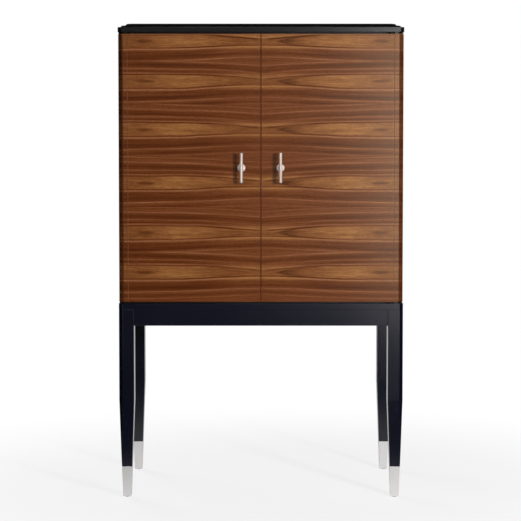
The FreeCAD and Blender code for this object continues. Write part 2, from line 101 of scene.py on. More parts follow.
# Where the screws and bolts sit
BACK_SCREW_INSET = 0.006
BACK_SCREWS_IN_ROW = 6
HINGE_HALF = 0.030
HINGE_SCREWS = ((-0.021, 0.0065), (0.0, 0.0125), (0.021, 0.0065))  # along a plate, in from its edge
HINGE_SCREW_PROUD = 0.0001
CLEAT_SCREW_INSET = 0.025
CLEAT_SCREWS = 3
STRIKE_SCREW_INSET = 0.004
STRIKE_SCREW_SINK = 0.0006
BLOCK_MIDDLE = 0.040

# Bolts under the case: radius and height, rounding as a share of the height
BOLT_HEAD = (0.0075, 0.0050)
BOLT_WASHER = (0.0105, 0.0016)
BOLT_SIDES = 6
BOLT_ROUNDING = 0.14
WASHER_ROUNDING = 0.35
WASHER_SIDES = 40

# Strips
STRIP_WIDTH = 0.018           # over the joint of the mirror
STRIP_THICKNESS = 0.0014
STRIP_ROUNDING = 0.6          # of its thickness
SHADOW_DEPTH = 0.005          # of the gaps at the ends of the side panels, whose walnut is painted dark as shade
GAP_STRIP_SETBACK = 0.0005
GAP_STRIP_ROUNDING = 0.0006

# Modelling
RIM_TOLERANCE = 1e-5
SMOOTH_ANGLE = math.radians(35.0)
WELD_DISTANCE = 0.00002
FLAT_ANGLE = math.radians(1.0)
SHARP_ANGLE = math.radians(40.0)
EASED_EDGES = (
    (0.0008, ("left_door_panel", "right_door_panel")),
    (0.0006, ("left_side_panel", "right_side_panel")),
    (0.0010, ("front_left_leg", "front_right_leg", "back_left_leg", "back_right_leg")),
    (0.0010, ("front_apron", "back_apron", "left_apron", "right_apron", "bottom_board")),
    (0.0003, ("stepped_top",)),
)

# Camera: the photograph's frame is square
CAMERA_DISTANCE = 4.947       # in front of the cabinet's front plane
CAMERA_HEIGHT = 1.062
CAMERA_SIDE = -0.0014
CAMERA_PITCH = 2.927          # degrees below level
CAMERA_LENS = 106.86
CAMERA_SHIFT = -0.025

# Light levels
LAMP_AIM = Vector((0.0, FRONT, 1.0))
ROOM_LIGHT = 0.05             # soft light from all round
ROOM_FRONT = 0.21             # what polished faces see of the dim room in front of the cabinet
ROOM_DIM = 0.015              # and of the room beside and above it
ROOM_TURN = (0.75, 0.97)      # how far ahead or behind a direction points before it meets that wall
FLOOR_SIZE = 60.0
FLOOR_TINT = 0.82
FLOOR_WHITE = 0.80            # how far the floor is plain white, the rest takes the shadow
FLOOR_FADE = (0.5, 1.8)       # from the middle, where the floor turns wholly white
FLOOR_POOL = (0.12, 0.50)     # from the cabinet, where the floor's white fades out of reflections
FLOOR_BEHIND = (0.3, 1.0)     # behind the cabinet, where that white comes back

# Walnut leaves on the doors, from top to bottom: height of the middle of each heart
HEART_HEIGHTS = (1.466, 1.339, 1.186, 1.0155, 0.8565, 0.729)
LEAF_MARGIN = 0.2             # above the first and below the last of them
LEAF_LENGTH = 0.50            # of one leaf from the centre seam, before it turns back
LEAF_AXIS = 0.0065            # right of the seam, where the leaves are book-matched
SEAM_BLEND = 0.001            # either side of the seam, where one door's figure meets the other's
HALVES_BLEND = 0.004          # either side of a heart's middle, where its two halves meet
RING = 0.00321                # one unit of the ramps across a leaf
RINGS = 28.0                  # units in half a leaf's width

# Tone across a leaf, from the heart's middle outwards: distance in rings, tone from dark to pale
RINGS_ABOVE = (
    (0, 0.60), (5.6, 0.58), (6.5, 0.40), (7.0, 0.22), (7.6, 0.44), (8.2, 0.52), (8.8, 0.36),
    (9.4, 0.18), (10.4, 0.21), (11.7, 0.32), (12.5, 0.50), (13.2, 0.24), (14.5, 0.15), (15.6, 0.10),
    (17.0, 0.19), (18.6, 0.32), (19.5, 0.60), (20.3, 0.34), (22.0, 0.29), (23.6, 0.26), (24.5, 0.52),
    (25.4, 0.24), (27.0, 0.18), (28.0, 0.24))
RINGS_BELOW = (
    (0, 0.60), (5.4, 0.58), (6.2, 0.40), (6.7, 0.22), (7.4, 0.44), (8.2, 0.68), (9.0, 0.42),
    (10.0, 0.23), (11.5, 0.19), (13.0, 0.24), (14.2, 0.11), (15.6, 0.06), (16.8, 0.17), (17.9, 0.32),
    (18.7, 0.58), (19.5, 0.34), (21.0, 0.29), (22.5, 0.16), (24.0, 0.21), (25.5, 0.46), (26.5, 0.28),
    (28.0, 0.24))
MEAN_TONE = 0.34

# Tone along a heart: share of the leaf's length, tone
HEART_GLOW = (
    (0.0, 0.44), (0.14, 0.42), (0.26, 0.49), (0.40, 0.77), (0.52, 0.88), (0.62, 0.80), (0.70, 0.58),
    (0.78, 0.42), (0.84, 0.36), (1.0, 0.36))

# Shape of the rings. Pairs are where a change begins and ends, along the leaf from the seam or
# across it from the heart's middle.
FAR_RINGS = (0.020, 0.065)    # across, where the rings run on past the heart
POINT_ABOVE = (-0.10, 0.24)   # along, where the heart's upper half comes to its point
POINT_BELOW = (0.06, 0.30)
POINT_DROP = 0.0195           # how far the upper edge comes down to the point
POINT_RISE = 0.0095           # how far the lower edge comes up to it
HEART_ROUNDING = 0.0020
HEART_EDGE = (0.0158, 0.0224)
RING_SLANT = 0.024            # of the far rings, across per metre along
STEADY_RINGS = (0.07, 0.22)   # along, where the rings grow stronger

# Marks on the hearts
ROOT_LENGTH = (0.05, 0.19)    # golden wood next to the seam
ROOT_FOOT = (-0.013, -0.008)
ROOT_HEAD = (0.017, 0.027)
WEDGE_INNER = (0.022, 0.026)
WEDGE_OUTER = (0.030, 0.040)
TIP_START = (0.030, 0.058)    # dark tip of the heart
TIP_END = (0.070, 0.140)
TIP_AT = 0.036
TIP_HALF = 0.0025
TIP_SPREAD = 0.17
ARROW_START = 0.058           # arrowhead of the right door's hearts
ARROW_LENGTH = 0.124
ARROW_HALF = 0.0185
ARROW_BLEND = 0.0015
FLANK_START = (0.045, 0.070)
FLANK_END = (0.15, 0.20)
VEE_HALF = 0.0026
EYE_AT = 0.378                # dark eye near the outer end of the heart
EYE_LENGTH = 0.037
EYE_HEIGHT = 0.0068
OUTLINE_RING = 0.0212         # dark line round the heart
OUTLINE_HALF = 0.0036
OUTLINE_START = (0.0, 0.03)
OUTLINE_ABOVE = (0.10, 0.26)
OUTLINE_BELOW_AT = 0.17
OUTLINE_BELOW = (0.06, 0.16)

# Painted shade and highlight at the edges of the walnut. Pairs are where a change begins and ends.
CANT_SHADE_START = (-0.0015, 0.0008)   # painted shade on the cant, outwards from the start of the cant
CANT_SHADE_END = (-0.0008, 0.0)        # back from the end of the cant
STILE_SHADE_WIDTH = 0.0025              # of the painted shade beside the cant
STILE_SHADE_LEFT = 0.0015               # how much wider it is on the left
STILE_SHADE_BLEND = 0.0004
STILE_SHADE_DEPTH = (0.0003, 0.0012)
HIGHLIGHT_SIDE = (0.0006, 0.0020)        # of the painted highlight, either side of a door's outer edge
HIGHLIGHT_TOP = (-0.0032, -0.0022)       # up to a door's top edge
GAP_SHADE_EDGE = (0.0001, 0.0004)         # of the painted shade in the gaps, past the tops and bottoms of the doors
SEAM_SHIFT = 0.0002                 # of the painted shade at the seam, to the left
SEAM_WIDTH = (0.0014, 0.0027)
SEAM_DEPTH = (0.0008, 0.0018)
CUT_EDGE = (0.0012, 0.0020)         # from the seam, over the edges where the doors meet
BOARD_SHADE_DEPTH = (0.0004, 0.0009)      # of the painted shade, back from the front edges of the boards

# Where one tint of a finish passes into another: heights, and depth from the front of the glass
STAND_TO_TOP = (0.70, 1.40)
SHOES_TO_PULLS = (0.40, 0.80)
TIER_FOOT = (-0.0001, 0.0003)
TIER_HEAD = (0.0002, 0.0006)
GLASS_EDGE = (0.0, 0.006)

# Grain as noise: changes per metre along and across the leaf, detail, roughness
DRIFT = (3.2, 1.0, 2.0, 0.5)
RIPPLE = (18.0, 40.0, 3.0, 0.5)
BROAD = (2.4, 75.0, 3.0, 0.6)
STREAK = (6.0, 300.0, 5.0, 0.75)
WISPS = (24.0, 190.0, 5.0, 0.75)
FLECK = (55.0, 330.0, 3.0, 0.7)
SPECKS = (230.0, 460.0, 2.0, 0.6)
MOTTLE = (9.0, 60.0, 3.0, 0.6)
PORES = (70.0, 1900.0, 2.0, 0.5)
TRACE = (5.0, 9.0, 3.0, 0.5)
WISPS_SWAY = 4.0 / 190.0      # how far the drift carries the wisps across
MOTTLE_SWAY = 1.0 / 9.0       # and the mottle along


def rgba(red, green, blue):
    return (red, green, blue, 1.0)


PORE_BROWN = rgba(0.05, 0.012, 0.003)
# Painted shade for the cants, the seam and the gaps, and a painted highlight for the doors' edges
CANT_SHADE_COLOUR = rgba(0.050, 0.012, 0.004)
SEAM_SHADE_COLOUR = rgba(0.11, 0.014, 0.001)
GAP_SHADE_BLACK = rgba(0.008, 0.004, 0.003)
EDGE_HIGHLIGHT_WALNUT = rgba(0.46, 0.21, 0.08)
WHITE = rgba(1, 1, 1)


class Field:
    """A shader socket. Python's operators on it add Math nodes, and node() adds any other kind."""

    def __init__(self, tree, socket):
        self.tree = tree
        self.socket = socket

    def node(self, kind, settings=(), inputs=(), output=0):
        made = self.tree.nodes.new(kind)
        for name, value in dict(settings).items():
            if name == "stops":
                ramp = made.color_ramp
                while len(ramp.elements) < len(value):
                    ramp.elements.new(1.0)
                for element, (place, colour) in zip(ramp.elements, value):
                    element.position = place
                    element.color = (*colour, 1.0)
            elif name == "blend":
                made.color_ramp.interpolation = value
            else:
                setattr(made, name, value)
        for key, value in dict(inputs).items():
            if isinstance(value, Field):
                self.tree.links.new(value.socket, made.inputs[key])
            else:
                made.inputs[key].default_value = value
        return Field(self.tree, made.outputs[output])

    def math(self, operation, *others):
        inputs = dict(enumerate((self, *others)))
        return self.node("ShaderNodeMath", {"operation": operation}, inputs)

    def __add__(self, other):
        return self.math("ADD", other)

    __radd__ = __add__

    def __mul__(self, other):
        return self.math("MULTIPLY", other)

    def __sub__(self, other):
        return self.math("SUBTRACT", other)

    def __rsub__(self, other):
        return self * -1.0 + other

    def __truediv__(self, other):
        return self.math("DIVIDE", other)

    def __pow__(self, other):
        return self.math("POWER", other)

    def __abs__(self):
        return self.math("ABSOLUTE")

    def at_least(self, other):
        return self.math("MAXIMUM", other)

    def step(self, low, high):
        """Rises from nought to one between two values."""
        return self.node("ShaderNodeMapRange", {"interpolation_type": "SMOOTHSTEP"},
                         {"Value": self, "From Min": low, "From Max": high})

    def fade(self, low, high):
        """Falls from one to nought between two values."""
        return 1.0 - self.step(low, high)

    def line(self, half):
        """One where the field is nought, fading out on both sides."""
        return (abs(self) / half).fade(0.0, 1.0)

    def ramp(self, stops, blend="LINEAR"):
        return self.node("ShaderNodeValToRGB", {"stops": stops, "blend": blend}, {"Fac": self})

    def noise(self, x, y, z, detail, roughness=0.5):
        place = self.node("ShaderNodeCombineXYZ", (), {"X": x, "Y": y, "Z": z})
        return self.node("ShaderNodeTexNoise", (), {"Vector": place, "Scale": 1.0, "Detail": detail,
                                                    "Roughness": roughness})

    def mixed(self, colour_a, colour_b):
        return self.node("ShaderNodeMix", {"data_type": "RGBA"},
                         {0: self, 6: colour_a, 7: colour_b}, output=2)


def blank_finish(name):
    """A new material with its Principled shader and the surface's own place as three fields."""
    material = bpy.data.materials.new(name)
    material.use_nodes = True
    tree = material.node_tree
    shader = tree.nodes["Principled BSDF"]
    coordinates = tree.nodes.new("ShaderNodeTexCoord")
    split = tree.nodes.new("ShaderNodeSeparateXYZ")
    tree.links.new(coordinates.outputs["Object"], split.inputs[0])
    place = [Field(tree, split.outputs[axis]) for axis in range(3)]
    return material, shader, place


def wire(shader, **sockets):
    """Sets or links sockets of a Principled shader, underscores standing for spaces."""
    for key, value in sockets.items():
        socket = shader.inputs[key.replace("_", " ")]
        if isinstance(value, Field):
            value.tree.links.new(value.socket, socket)
        else:
            socket.default_value = value


def bump(height, depth, strength):
    inputs = {"Height": height, "Distance": depth, "Strength": strength}
    return height.node("ShaderNodeBump", (), inputs)


# Walnut

def leaf_offset(z):
    """Height above the middle of the veneer leaf that z lies in, and that middle."""
    low = HEART_HEIGHTS[-1] - LEAF_MARGIN
    span = HEART_HEIGHTS[0] + LEAF_MARGIN - low
    stops = [(0.0, (HEART_HEIGHTS[-1],) * 3)]
    for upper, lower in reversed(list(zip(HEART_HEIGHTS, HEART_HEIGHTS[1:]))):
        stops.append((((upper + lower) / 2 - low) / span, (upper,) * 3))
    middle = ((z - low) / span).ramp(stops, "CONSTANT")
    return z - middle, middle


def ramp_of(tones, span):
    return [(place / span, (tone,) * 3) for place, tone in tones]


def grain(scales, along, across, seed):
    """Noise about nought, drawn out along the leaf."""
    per_length, per_width, detail, roughness = scales
    return along.noise(along * per_length, across * per_width, seed, detail, roughness) - 0.5


def walnut_edges(colour, x, y, z, right, wisps):
    """Painted shade on the cants, beside them, in the gaps and at the seam, a painted highlight along
    the doors' outer and top edges, and what the edges add to roughness.
    """
    # Painted shade on the cants, deeper on the right than on the left
    cant_shade = (abs(x) - CANT_START).step(*CANT_SHADE_START) * (y - CANT_END).fade(*CANT_SHADE_END)
    colour = (cant_shade * (right * 0.2 + 0.4)).mixed(colour, CANT_SHADE_COLOUR)
    # Painted shade on the stile beside the cant, wider on the left; on the right it also adds
    # roughness
    stile_shade = abs(x) - CANT_START + STILE_SHADE_WIDTH + (1.0 - right) * STILE_SHADE_LEFT
    stile_shade = stile_shade.step(-STILE_SHADE_BLEND, STILE_SHADE_BLEND)
    stile_shade = stile_shade * (y - side_low.y).fade(*STILE_SHADE_DEPTH)
    colour = (stile_shade * 0.8).mixed(colour, CANT_SHADE_COLOUR)
    # Painted highlight along the doors' outer edges and over their top edges
    edge_highlight = abs(abs(x) - DOOR_SIDE).fade(*HIGHLIGHT_SIDE)
    edge_highlight = edge_highlight.at_least((z - DOOR_TOP).step(*HIGHLIGHT_TOP))
    colour = (edge_highlight * (wisps * 0.8 + 0.8) * 0.30).mixed(colour, EDGE_HIGHLIGHT_WALNUT)
    # Painted shade in the gaps above and below the doors and on the side panels' set-back ends
    gap_shade = (z - DOOR_TOP).step(*GAP_SHADE_EDGE).at_least((DOOR_BOTTOM - z).step(*GAP_SHADE_EDGE))
    colour = gap_shade.mixed(colour, GAP_SHADE_BLACK)
    # Painted shade along the seam between the doors
    seam = abs(x + SEAM_SHIFT).fade(*SEAM_WIDTH) * (y - DOOR_FACE).fade(*SEAM_DEPTH)
    colour = (seam * 0.7).mixed(colour, SEAM_SHADE_COLOUR)
    cut_edge = abs(x).fade(*CUT_EDGE)
    return colour, (cut_edge * 0.5).at_least(stile_shade * right * 0.6)


def book_matched_walnut():
    """Crown-cut leaves laid across: a pale heart, pointed at the seam, with rings round it."""
    material, shader, (x, y, z) = blank_finish("book_matched_walnut")
    right = x.step(-SEAM_BLEND, SEAM_BLEND)
    along = abs(x - LEAF_AXIS) + (y - DOOR_FACE)
    length = along.math("PINGPONG", LEAF_LENGTH)
    across, leaf = leaf_offset(z)
    upper = across.step(-HALVES_BLEND, HALVES_BLEND)
    lower = 1.0 - upper
    far = abs(across).step(*FAR_RINGS)
    seed = leaf * 37.0 + upper * 2.3    # sets the noise of each half leaf apart

    # Growth rings, as a distance from the heart's middle
    drift = grain(DRIFT, along, seed, far * 0.4)
    ripple = grain(RIPPLE, along, z, seed)
    point = upper * length.fade(*POINT_ABOVE) * POINT_DROP
    point = point + lower * length.fade(*POINT_BELOW) * POINT_RISE
    ring = (across * across + HEART_ROUNDING ** 2) ** 0.5 + point * (1.0 - far * 0.6)
    ring = ring + (LEAF_LENGTH / 2 - length) * far * RING_SLANT
    ring = ring + drift * 0.007 + ripple * 0.0022
    turn = ring / (RING * RINGS)
    above = turn.ramp(ramp_of(RINGS_ABOVE, RINGS))
    below = turn.ramp(ramp_of(RINGS_BELOW, RINGS))
    bands = upper * above + lower * below
    heart = (ring + ripple * 0.005).fade(*HEART_EDGE)
    glow = (length / LEAF_LENGTH).ramp(ramp_of(HEART_GLOW, 1.0))

    # Grain
    broad = grain(BROAD, along, ring, seed)
    streak = grain(STREAK, along, ring, seed)
    wisps = grain(WISPS, along, across + drift * WISPS_SWAY, leaf * 9.0)
    fleck = grain(FLECK, along, z, seed + 9.0)
    specks = grain(SPECKS, along, z, seed + 3.0)
    mottle = grain(MOTTLE, along + drift * MOTTLE_SWAY, across, leaf * 13.0)
    pores = grain(PORES, along, z, seed)
    trace = grain(TRACE, along, turn, seed + 5.0)
    feather = wisps * 0.020 + ripple * 0.010

    # Marks on the hearts
    swayed = across + drift * 0.012
    root = swayed.step(*ROOT_FOOT) * swayed.fade(*ROOT_HEAD) * length.fade(*ROOT_LENGTH)
    wedge = length.fade(*ROOT_LENGTH) * ring.step(*WEDGE_INNER) * ring.fade(*WEDGE_OUTER)
    dart = ((length - TIP_AT) * TIP_SPREAD + TIP_HALF).at_least(0.001)
    tip = (length + feather).step(*TIP_START) * (length + feather).fade(*TIP_END)
    tip = tip * (abs(across) / dart).fade(0.45, 1.15) * (right * 0.62 + 0.24)
    arrow = ((length - ARROW_START) / ARROW_LENGTH).at_least(0.0) ** 0.5 * ARROW_HALF
    arrow = arrow + ripple * 0.004 + wisps * 0.003
    flank = right * length.step(*FLANK_START) * length.fade(*FLANK_END)
    heart = heart * (1.0 - flank * (arrow - abs(across)).fade(-ARROW_BLEND, ARROW_BLEND) * 0.85)
    vee = flank * (abs(across) - arrow).line(VEE_HALF) * (trace * 1.4 + 0.9)
    eye_wide = (length - EYE_AT + feather * 2.2) / EYE_LENGTH
    eye_high = (across + wisps * 0.014) / EYE_HEIGHT
    eye = (eye_wide * eye_wide + eye_high * eye_high).fade(0.05, 1.0)
    edge_above = upper * (0.38 - length.step(*OUTLINE_ABOVE) * 0.23) * length.step(*OUTLINE_START)
    edge_below = lower * (0.17 - abs(length - OUTLINE_BELOW_AT).step(*OUTLINE_BELOW) * 0.12)
    outline = (ring - OUTLINE_RING + trace * 0.002).line(OUTLINE_HALF)
    outline = outline * (edge_above + edge_below) * (trace * 4.2 + 0.85).at_least(0.0)

    # Tone, from dark to pale, and colour
    rings = (bands - MEAN_TONE) * (length.step(*STEADY_RINGS) * 0.40 + 0.60) * (trace * 1.1 + 1.0)
    rings = rings * (1.0 - root * 0.5) + root * (wisps * 0.45 + 0.06)
    tone = rings * (1.0 - heart) + MEAN_TONE + heart * (glow * 0.35 - 0.04) + wedge * 0.20
    tone = tone + heart * (wisps * 0.70 + mottle * 0.34)
    tone = tone + broad * 0.34 + streak * 0.58 + fleck * 0.27 + specks * 0.30
    tone = tone - eye * (wisps * 1.1 + 0.28) - tip * 0.38 - outline - vee * 0.16
    plain = tone.ramp([
        (0.0, (0.056, 0.011, 0.001)),
        (0.22, (0.094, 0.021, 0.003)),
        (0.48, (0.168, 0.053, 0.017)),
        (0.74, (0.272, 0.112, 0.045)),
        (1.0, (0.365, 0.175, 0.078)),
    ])
    golden = tone.ramp([
        (0.0, (0.060, 0.014, 0.002)),
        (0.48, (0.172, 0.058, 0.014)),
        (1.0, (0.385, 0.180, 0.048)),
    ])
    gilt = heart.at_least(wedge * lower).at_least(root * 0.8)
    colour = (gilt * 0.8).mixed(plain, golden)
    colour = (pores.step(0.12, 0.22) * 0.30).mixed(colour, PORE_BROWN)
    colour, edge_roughness = walnut_edges(colour, x, y, z, right, wisps)
    wire(shader, Base_Color=colour, Roughness=0.25 + streak * 0.05 + edge_roughness,
         Specular_IOR_Level=0.36, Specular_Tint=rgba(1.0, 0.97, 0.76),
         Normal=bump(pores + streak * 0.5, 0.0001, 0.20))
    return material


def plain_walnut():
    material, shader, (x, y, z) = blank_finish("plain_walnut")
    bow = x.noise(x * 1.3, y * 4.0, z * 4.0, 2.0)
    lines = x.noise(x * 1.8, (y + bow * 0.03) * 90.0, (z + bow * 0.03) * 90.0, 4.0, 0.6)
    fine = x.noise(x * 5.0, y * 500.0, z * 500.0, 2.0)
    tone = lines * 0.9 + (fine - 0.5) * 0.35
    colour = tone.ramp([
        (0.1, (0.060, 0.016, 0.006)),
        (0.45, (0.130, 0.042, 0.015)),
        (0.8, (0.230, 0.090, 0.036)),
    ])
    # Painted shade: the boards' front edges, seen through the gaps, turn black
    board_shade = (y - BOARD_EDGE).fade(*BOARD_SHADE_DEPTH)
    colour = board_shade.mixed(colour, GAP_SHADE_BLACK)
    wire(shader, Base_Color=colour, Roughness=0.36 + (fine - 0.5) * 0.08,
         Normal=bump(fine, 0.0001, 0.3))
    return material


# Lacquer, metal, glass and the plain materials

def black_lacquer():
    """Lacquer, bluer on the stand, with the upper tiers turned to dull black metal as painted shade.
    """
    material, shader, (x, y, z) = blank_finish("black_lacquer")
    cloud = x.noise(x * 5.0, y * 5.0, z * 5.0, 3.0)
    skin = x.noise(x * 260.0, y * 260.0, z * 260.0, 1.0)
    stand = cloud.mixed(rgba(0.0016, 0.0018, 0.0070), rgba(0.0026, 0.0028, 0.0100))
    colour = z.step(*STAND_TO_TOP).mixed(stand, rgba(0.0024, 0.0024, 0.0034))
    # Painted shade: the upper tiers become dull black metal, which mirrors almost nothing
    tier_shade = (z - UPPER_TIERS).step(*TIER_FOOT) * (top_high.z - z).step(*TIER_HEAD)
    wire(shader, Base_Color=colour, Metallic=tier_shade * 0.9, Roughness=0.25 + (cloud - 0.5) * 0.05,
         Normal=bump(skin, 0.00004, 0.25))
    return material


def satin_nickel():
    """Brushed nickel, a little warmer on the pulls than on the shoes: a painted reflection of the
    walnut round them.
    """
    material, shader, (x, y, z) = blank_finish("satin_nickel")
    brushed = x.noise(x * 1800.0, y * 1800.0, z * 30.0, 2.0)
    cloud = x.noise(x * 40.0, y * 40.0, z * 25.0, 2.0)
    shoes = cloud.mixed(rgba(0.66, 0.65, 0.64), rgba(0.73, 0.72, 0.71))
    # The pulls' warm tint is a painted reflection of the walnut doors
    pulls = cloud.mixed(rgba(0.72, 0.62, 0.56), rgba(0.79, 0.69, 0.63))
    colour = z.step(*SHOES_TO_PULLS).mixed(shoes, pulls)
    wire(shader, Base_Color=colour, Metallic=1.0,
         Roughness=0.58 + (brushed - 0.5) * 0.12 + (cloud - 0.5) * 0.06,
         Normal=bump(brushed, 0.00003, 0.3))
    return material


def hinge_metal():
    material, shader, (x, y, z) = blank_finish("hinge_metal")
    brushed = x.noise(x * 60.0, y * 1500.0, z * 1500.0, 2.0)
    colour = brushed.mixed(rgba(0.60, 0.58, 0.53), rgba(0.74, 0.72, 0.67))
    wire(shader, Base_Color=colour, Metallic=1.0, Roughness=0.28 + (brushed - 0.5) * 0.15)
    return material


def hinge_bronze():
    material, shader, (x, y, z) = blank_finish("hinge_bronze")
    patina = x.noise(x * 90.0, y * 90.0, z * 90.0, 3.0)
    colour = patina.mixed(rgba(0.010, 0.007, 0.005), rgba(0.026, 0.018, 0.012))
    wire(shader, Base_Color=colour, Metallic=1.0, Roughness=0.45 + (patina - 0.5) * 0.2)
    return material


def stained_ply():
    material, shader, (x, y, z) = blank_finish("stained_ply")
    bow = x.noise(x * 2.5, y, z * 0.8, 2.0)
    lines = x.noise((x + bow * 0.05) * 70.0, y * 70.0, z * 1.6, 4.0, 0.6)
    colour = lines.ramp([(0.25, (0.030, 0.012, 0.006)), (0.7, (0.075, 0.034, 0.018))])
    wire(shader, Base_Color=colour, Roughness=0.55 + (lines - 0.5) * 0.2,
         Normal=bump(lines, 0.0002, 0.3))
    return material


def beech():
    material, shader, (x, y, z) = blank_finish("beech")
    lines = x.noise(x * 9.0, y * 9.0, z * 160.0, 3.0)
    fleck = x.noise(x * 130.0, y * 130.0, z * 900.0, 1.0)
    colour = (lines * 0.7 + fleck.step(0.6, 0.75) * 0.3).ramp([
        (0.2, (0.52, 0.34, 0.19)), (0.7, (0.40, 0.24, 0.12)), (1.0, (0.27, 0.14, 0.06))])
    wire(shader, Base_Color=colour, Roughness=0.6 + (lines - 0.5) * 0.15)
    return material


def moulded(name, dark, pale):
    material, shader, (x, y, z) = blank_finish(name)
    grit = x.noise(x * 900.0, y * 900.0, z * 900.0, 2.0)
    wire(shader, Base_Color=grit.mixed(dark, pale), Roughness=0.48 + (grit - 0.5) * 0.2,
         Normal=bump(grit, 0.00005, 0.5))
    return material


def mirror_glass():
    material, shader, (x, y, z) = blank_finish("mirror_glass")
    cloud = x.noise(x * 6.0, y * 6.0, z * 6.0, 3.0)
    colour = cloud.mixed(rgba(0.82, 0.84, 0.83), rgba(0.87, 0.88, 0.88))
    wire(shader, Base_Color=colour, Metallic=1.0, Roughness=0.015 + cloud * 0.02)
    return material


def clear_glass():
    """Clear glass with a green front edge."""
    material, shader, (x, y, z) = blank_finish("clear_glass")
    pane_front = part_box("glass_shelf")[0].y
    edge = (y - pane_front).fade(*GLASS_EDGE)
    colour = edge.mixed(rgba(0.95, 0.99, 0.98), rgba(0.45, 0.78, 0.68))
    wire(shader, Base_Color=colour, Transmission_Weight=1.0, Roughness=edge * 0.08, IOR=1.5)
    return material


# Studio

def rays_that_show(tree):
    """Two fields: one for rays that show the background itself, and one for those that mirror it."""
    rays = tree.nodes.new("ShaderNodeLightPath")
    camera = Field(tree, rays.outputs["Is Camera Ray"])
    through = Field(tree, rays.outputs["Is Transmission Ray"])
    return (camera + through).math("MINIMUM", 1.0), Field(tree, rays.outputs["Is Glossy Ray"])


def studio_world():
    """White where it is seen, dim where it is mirrored, and a soft light from all round."""
    world = bpy.data.worlds.new("studio")
    world.use_nodes = True
    bpy.context.scene.world = world
    tree = world.node_tree
    seen, glossy = rays_that_show(tree)
    direction = seen.node("ShaderNodeTexCoord", output="Generated")
    ahead = seen.node("ShaderNodeSeparateXYZ", (), {0: direction}, output="Y")
    backdrop = ahead.step(*ROOM_TURN) + (ahead * -1.0).step(*ROOM_TURN) * ROOM_FRONT + ROOM_DIM
    level = seen + glossy * backdrop + (1.0 - seen - glossy) * ROOM_LIGHT
    tree.links.new(level.socket, tree.nodes["Background"].inputs["Strength"])
    tree.nodes["Background"].inputs["Color"].default_value = WHITE


def pale_floor():
    """A wide floor, white where it is seen but for the shadow, and mirrored near the cabinet only."""
    material = bpy.data.materials.new("pale_floor")
    material.use_nodes = True
    tree = material.node_tree
    tree.nodes.remove(tree.nodes["Principled BSDF"])
    seen, glossy = rays_that_show(tree)
    spot = seen.node("ShaderNodeTexCoord", output="Object")
    away = seen.node("ShaderNodeVectorMath", {"operation": "LENGTH"}, {0: spot}, output="Value")
    side_on = abs(seen.node("ShaderNodeSeparateXYZ", (), {0: spot}, output="X"))
    ahead = seen.node("ShaderNodeSeparateXYZ", (), {0: spot}, output="Y")
    beside = (side_on - HALF_WIDTH).at_least(0.0)
    before = (FRONT - ahead).at_least(0.0)
    pool = ((beside * beside + before * before) ** 0.5).fade(*FLOOR_POOL)
    pool = pool.at_least((ahead - side_on).step(*FLOOR_BEHIND))
    white = seen + glossy * pool
    white = white * (away.step(*FLOOR_FADE) * (1.0 - FLOOR_WHITE) + FLOOR_WHITE)
    tint = (1.0 - glossy * (1.0 - pool) * (1.0 - ROOM_DIM)) * FLOOR_TINT
    matt = seen.node("ShaderNodeBsdfDiffuse", (), {"Color": tint})
    glow = seen.node("ShaderNodeEmission", (), {"Color": WHITE, "Strength": 1.0})
    mixed = seen.node("ShaderNodeMixShader", (), {0: white, 1: matt, 2: glow})
    tree.links.new(mixed.socket, tree.nodes["Material Output"].inputs["Surface"])
    bpy.ops.mesh.primitive_plane_add(size=FLOOR_SIZE, location=(0, 0, 0))
    floor = bpy.context.object
    floor.name = "floor"
    floor.data.materials.append(material)


def softbox(name, place, width, height, power, lights=True, mirrored=True):
    """A rectangular lamp aimed at the doors. It may light them, show in polished faces, or both."""
    bpy.ops.object.light_add(type="AREA", location=place)
    lamp = bpy.context.object
    lamp.name = name
    lamp.rotation_euler = (LAMP_AIM - Vector(place)).to_track_quat("-Z", "Y").to_euler()
    lamp.data.shape = "RECTANGLE"
    lamp.data.size = width
    lamp.data.size_y = height
    lamp.data.energy = power
    lamp.visible_camera = False
    lamp.visible_diffuse = lights
    lamp.visible_glossy = mirrored


def studio_lamps():
    """Name, place, width, height and watts of each lamp."""
    softbox("key_lamp", (2.29, FRONT - 3.40, 1.40), 0.36, 0.5, 140.0, mirrored=False)
    softbox("second_lamp", (1.68, FRONT - 3.70, 1.40), 0.36, 0.5, 38.0, mirrored=False)
    softbox("left_fill", (-2.4, FRONT - 1.9, 1.3), 1.2, 2.0, 6.0)
    softbox("right_panel", (1.3, FRONT - 2.8, 1.22), 1.4, 1.6, 45.0, lights=False)
    softbox("right_card", (3.0, FRONT - 2.5, 0.9), 1.2, 1.2, 30.0, lights=False)
    softbox("left_card", (-3.0, FRONT - 2.5, 0.9), 1.2, 1.2, 12.0, lights=False)
    softbox("upper_card", (-0.2, FRONT - 2.3, 4.05), 2.0, 1.0, 50.0, lights=False)
    softbox("back_fill", (-2.2, BACK + 2.4, 1.9), 1.6, 2.0, 80.0, mirrored=False)


def photo_camera():
    bpy.ops.object.camera_add(location=(CAMERA_SIDE, FRONT - CAMERA_DISTANCE, CAMERA_HEIGHT),
                              rotation=(math.radians(90.0 - CAMERA_PITCH), 0, 0))
    camera = bpy.context.object
    camera.data.lens = CAMERA_LENS
    camera.data.shift_y = CAMERA_SHIFT
    bpy.context.scene.camera = camera


# Dressing

